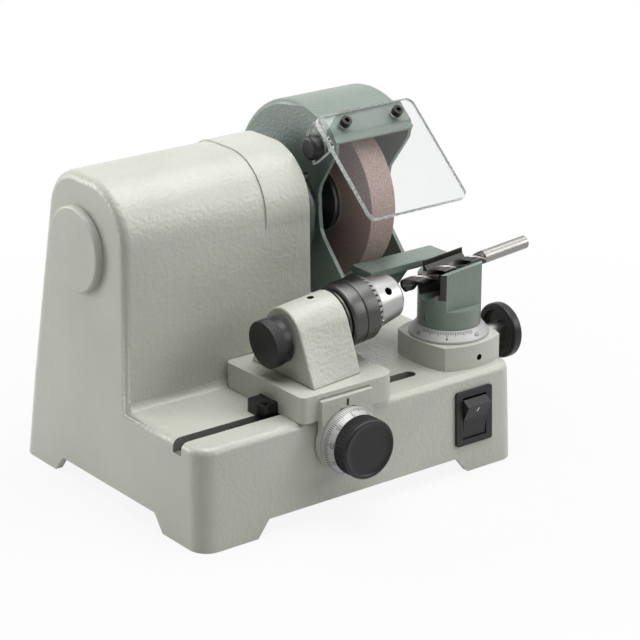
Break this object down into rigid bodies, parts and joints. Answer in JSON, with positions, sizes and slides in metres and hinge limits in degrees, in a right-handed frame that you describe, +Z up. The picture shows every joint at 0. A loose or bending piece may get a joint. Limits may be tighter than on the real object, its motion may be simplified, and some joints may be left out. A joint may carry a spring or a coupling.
{
  "type": "bench drill-bit grinder",
  "caption": "Bench grinder for twist drills: cast base with motor housing, guarded wheel and eye shield, sliding carriage with a tilted keyed chuck, and a swivelling vee.",
  "frame": {"origin": "on the floor under the middle of the whole grinder's box", "axes": "+X to the right along the table and the wheel shaft, +Y from the operator to the back, +Z up"},
  "size_m": [0.3471, 0.286, 0.2717],
  "materials": {
    "casting_paint": "light grey-green hammered paint",
    "guard_paint": "darker grey-green paint",
    "bright_steel": "turned bright steel",
    "dark_steel": "dark turned steel",
    "black_oxide": "black oxide",
    "drill_steel": "high-speed steel, dark flutes and bright shank",
    "black_plastic": "black moulded plastic",
    "abrasive": "pink-brown grainy abrasive",
    "clear_acrylic": "clear acrylic",
    "copper": "enamelled copper wire",
    "bronze": "oiled bronze",
    "blotter_paper": "plain paper"
  },
  "bodies": {
    "base": {"base_casting": "casting_paint", "end_cap": "casting_paint", "bottom_cover": "dark_steel", "cover_screws": "dark_steel", "motor_flange": "guard_paint", "cap_screws": "black_oxide", "motor_shell": "dark_steel", "stator_core": "bright_steel", "stator_windings": "copper", "rear_bell": "bright_steel", "front_bearing": "bright_steel", "rear_bearing": "bright_steel", "capacitor": "black_plastic", "cable_gland": "black_plastic", "switch_frame": "black_plastic", "guard_body": "guard_paint", "guard_cover": "guard_paint", "eye_shield": "clear_acrylic", "tool_rest": "guard_paint", "swivel_block": "casting_paint", "block_screws": "dark_steel", "dial_ring": "bright_steel"},
    "rotor": {"motor_shaft": "bright_steel", "rotor_core": "dark_steel", "cooling_fan": "black_plastic", "inner_flange": "dark_steel", "outer_flange": "dark_steel", "grinding_wheel": "abrasive", "wheel_blotters": "blotter_paper", "wheel_nut": "dark_steel"},
    "slot_key": {"slot_key": "black_oxide", "key_screw": "black_oxide", "key_nut": "dark_steel"},
    "carriage": {"carriage_plate": "casting_paint", "spindle_bracket": "casting_paint", "bracket_screws": "dark_steel", "spindle_bushes": "bronze", "feed_bracket": "casting_paint"},
    "feed_dial": {"feed_screw": "bright_steel", "feed_dial": "bright_steel", "feed_knob": "black_plastic"},
    "spindle": {"spindle": "bright_steel", "spindle_knob": "black_plastic", "thrust_ring": "dark_steel", "chuck_body": "bright_steel"},
    "chuck_sleeve": {"chuck_sleeve": "dark_steel"},
    "chuck_jaw_1": {"chuck_jaw_1": "dark_steel"},
    "chuck_jaw_2": {"chuck_jaw_2": "dark_steel"},
    "chuck_jaw_3": {"chuck_jaw_3": "dark_steel"},
    "swivel": {"vee_post": "guard_paint", "vee_jaws": "dark_steel", "pivot_nut": "dark_steel"},
    "drill": {"drill_bit": "drill_steel"},
    "clamp_knob": {"clamp_stud": "bright_steel", "clamp_knob": "black_plastic"},
    "rocker": {"rocker": "black_plastic"},
    "shield_knob": {"shield_knob": "black_plastic"}
  },
  "joints": [
    {"name": "wheel_spin", "type": "hinge", "parent": "base", "child": "rotor", "pos_m": [0.06216, 0.03826, 0.189], "axis": [1, 0, 0], "continuous": true},
    {"name": "key_slide", "type": "slide", "parent": "base", "child": "slot_key", "axis": [1, 0, 0], "range_m": [-0.055, 0]},
    {"name": "cross_feed", "type": "slide", "parent": "slot_key", "child": "carriage", "axis": [0, 1, 0], "range_m": [-0.002, 0]},
    {"name": "dial_turn", "type": "hinge", "parent": "carriage", "child": "feed_dial", "pos_m": [-0.04334, -0.12174, 0.0605], "axis": [0, 1, 0], "range_deg": [0, 720]},
    {"name": "spindle_turn", "type": "hinge", "parent": "carriage", "child": "spindle", "pos_m": [-0.06484, -0.06574, 0.1291], "axis": [0.9939, 0, 0.1106], "continuous": true},
    {"name": "sleeve_turn", "type": "hinge", "parent": "spindle", "child": "chuck_sleeve", "pos_m": [-0.06484, -0.06574, 0.1291], "axis": [0.9939, 0, 0.1106], "range_deg": [0, 540]},
    {"name": "jaw_1_slide", "type": "slide", "parent": "spindle", "child": "chuck_jaw_1", "axis": [0.9908, -0.0337, -0.1308], "range_m": [0, 0.004]},
    {"name": "jaw_2_slide", "type": "slide", "parent": "spindle", "child": "chuck_jaw_2", "axis": [0.9543, 0.2243, 0.1974], "range_m": [0, 0.004]},
    {"name": "jaw_3_slide", "type": "slide", "parent": "spindle", "child": "chuck_jaw_3", "axis": [0.9479, -0.1906, 0.2553], "range_m": [0, 0.004]},
    {"name": "swivel_turn", "type": "hinge", "parent": "base", "child": "swivel", "pos_m": [0.09592, -0.06574, 0.11], "axis": [0, 0, 1], "range_deg": [-20, 35]},
    {"name": "drill_slide", "type": "slide", "parent": "swivel", "child": "drill", "axis": [0.9965, 0, 0.0837], "range_m": [0, 0.12]},
    {"name": "clamp_turn", "type": "hinge", "parent": "base", "child": "clamp_knob", "pos_m": [0.13592, -0.06574, 0.0868], "axis": [1, 0, 0], "range_deg": [-360, 0]},
    {"name": "rocker_tilt", "type": "hinge", "parent": "base", "child": "rocker", "pos_m": [0.08366, -0.11016, 0.045], "axis": [1, 0, 0], "range_deg": [-26, 0]},
    {"name": "shield_knob_turn", "type": "hinge", "parent": "base", "child": "shield_knob", "pos_m": [0.01366, -0.00474, 0.24695], "axis": [1, 0, 0], "range_deg": [-360, 0]}
  ],
  "couplings": [
    {"joint": "dial_turn", "follows": "cross_feed", "rad_per_m": -6283},
    {"joint": "jaw_1_slide", "follows": "sleeve_turn", "m_per_rad": 0.000424},
    {"joint": "jaw_2_slide", "follows": "sleeve_turn", "m_per_rad": 0.000424},
    {"joint": "jaw_3_slide", "follows": "sleeve_turn", "m_per_rad": 0.000424}
  ]
}
